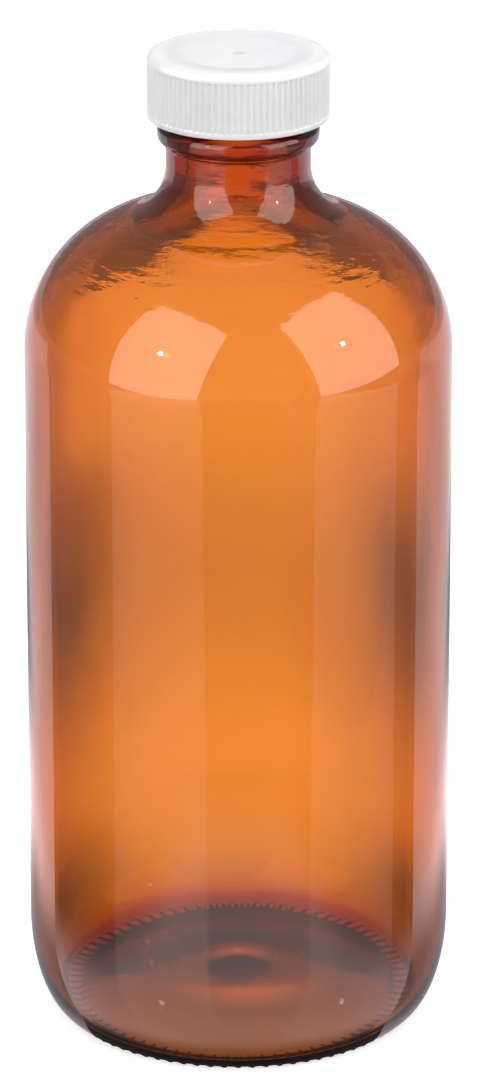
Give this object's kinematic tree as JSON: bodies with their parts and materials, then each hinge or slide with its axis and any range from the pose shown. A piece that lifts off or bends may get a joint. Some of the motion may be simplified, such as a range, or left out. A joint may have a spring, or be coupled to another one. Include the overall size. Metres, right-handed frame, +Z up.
{
  "type": "reagent bottle",
  "caption": "Round-shouldered amber glass laboratory bottle with a narrow threaded neck, a ribbed white screw cap and a foam cap liner.",
  "frame": {"origin": "centre of the bearing ring, on the surface that the bottle stands on", "axes": "+Z up along the bottle's axis, towards the cap; the bottle is round, so X and Y are any two level directions"},
  "size_m": [0.075, 0.075, 0.1772],
  "materials": {
    "amber_glass": "polished amber soda-lime glass",
    "cap_plastic": "satin white polypropylene",
    "liner_skin": "smooth polyethylene skin",
    "liner_foam": "fine closed-cell polyethylene foam"
  },
  "bodies": {
    "bottle": {"glass_bottle": "amber_glass"},
    "liner": {"liner_back_skin": "liner_skin", "liner_foam_core": "liner_foam", "liner_face_skin": "liner_skin"},
    "cap": {"screw_cap": "cap_plastic"}
  },
  "joints": [
    {"name": "cap_rise", "type": "slide", "parent": "bottle", "child": "liner", "axis": [0, 0, 1], "range_m": [0, 0.0256]},
    {"name": "cap_turn", "type": "hinge", "parent": "liner", "child": "cap", "pos_m": [0, 0, 0.1715], "axis": [0, 0, 1], "range_deg": [0, 2160]}
  ],
  "couplings": [
    {"joint": "cap_rise", "follows": "cap_turn", "m_per_rad": 0.00067375}
  ]
}
